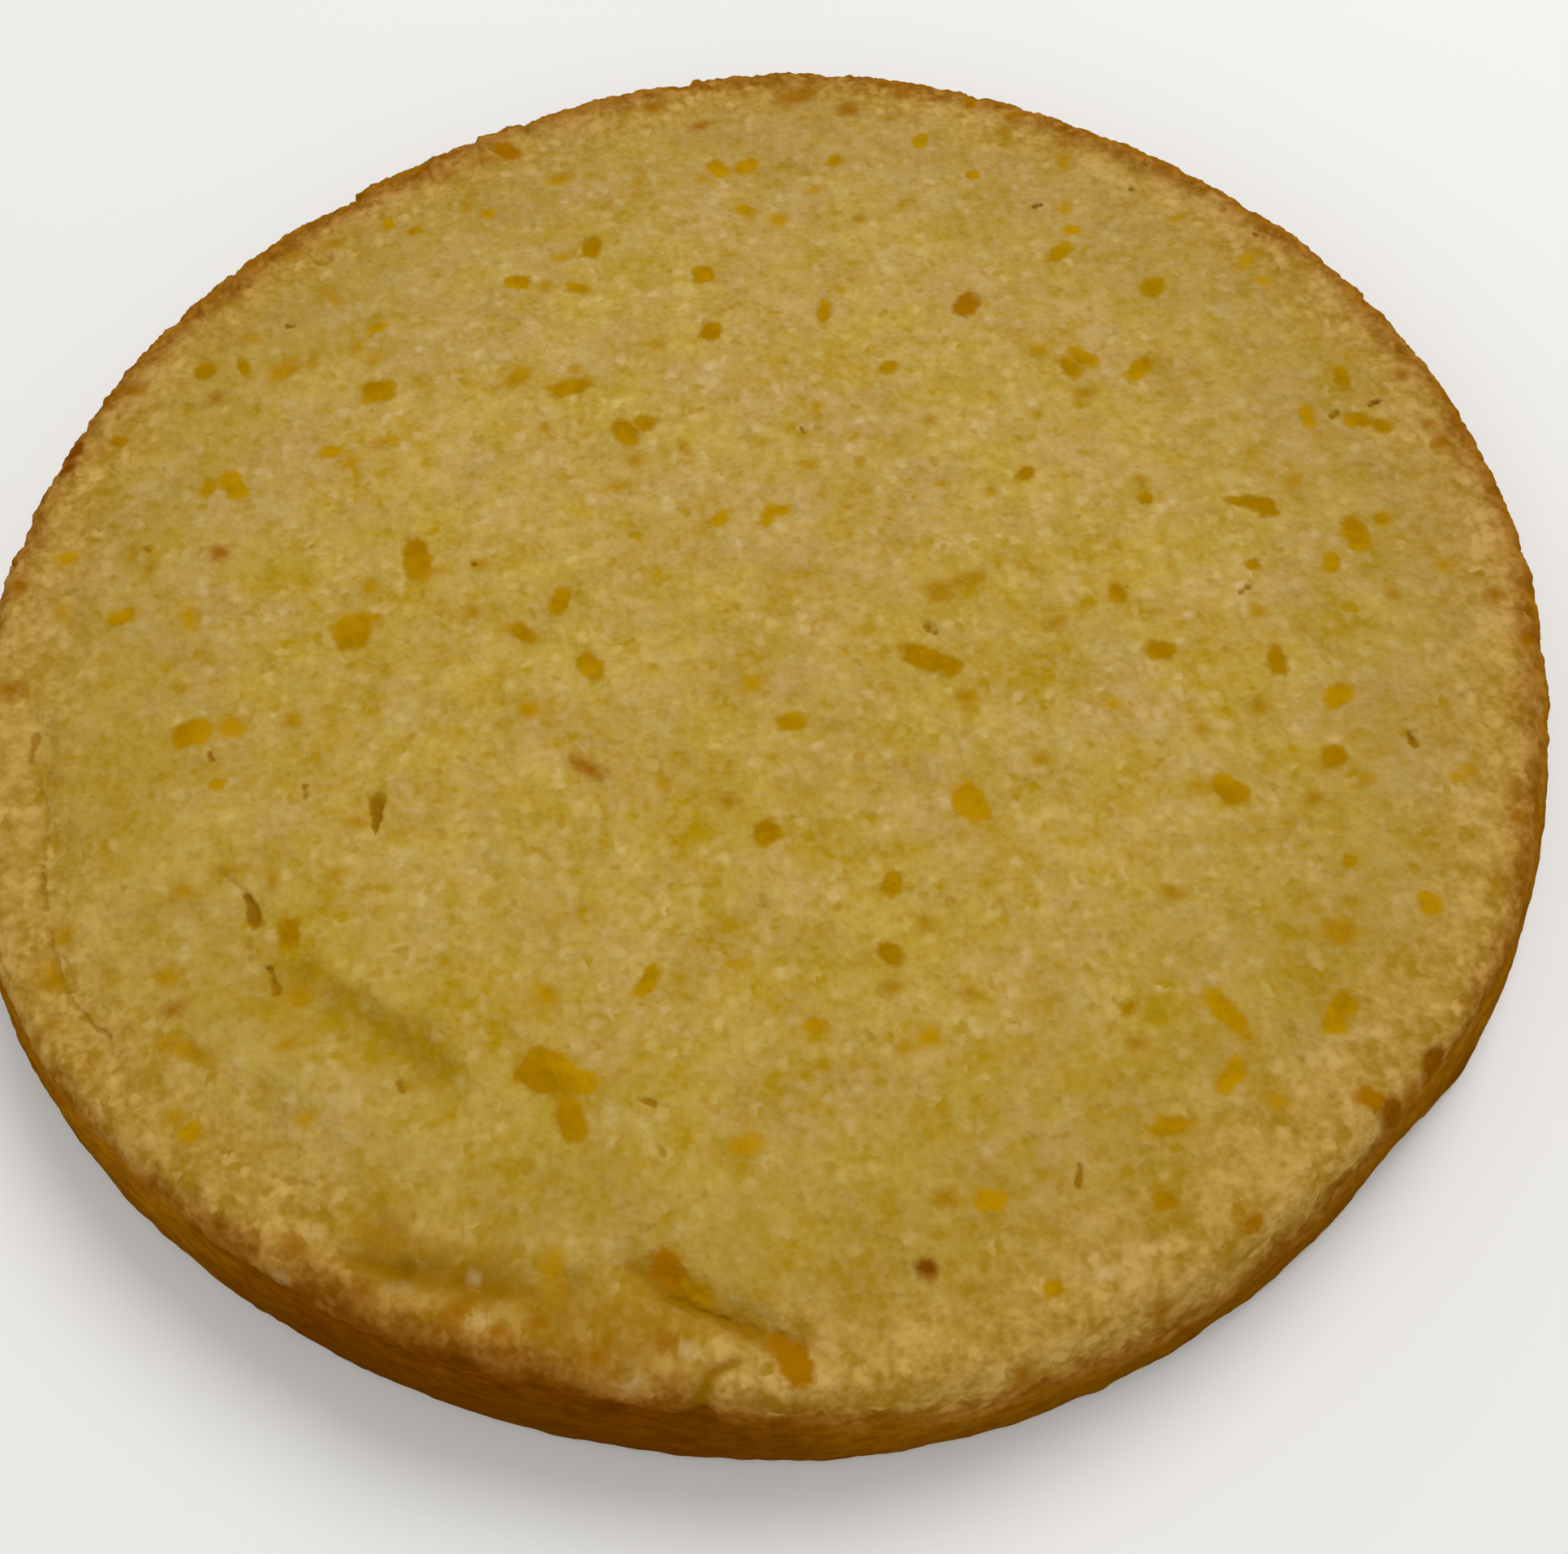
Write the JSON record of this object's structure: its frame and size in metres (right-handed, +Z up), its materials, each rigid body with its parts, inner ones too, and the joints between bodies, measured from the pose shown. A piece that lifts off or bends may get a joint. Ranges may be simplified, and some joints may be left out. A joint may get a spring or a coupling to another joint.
{
  "type": "cassava cake",
  "caption": "Round, flat cassava cake turned out of its tin, with golden crumb, amber flecks, a browned rounded rim and a creased, cracked front edge.",
  "frame": {"origin": "middle of the flat underside", "axes": "+Z up through the cake, -Y towards the creased and cracked front edge, +X to the right seen from there"},
  "size_m": [0.2348, 0.2274, 0.0204],
  "materials": {
    "crumb": "matte, moist golden crumb, browned and slightly glossy at the rim and side"
  },
  "bodies": {
    "root": {"cake": "crumb"}
  },
  "joints": []
}
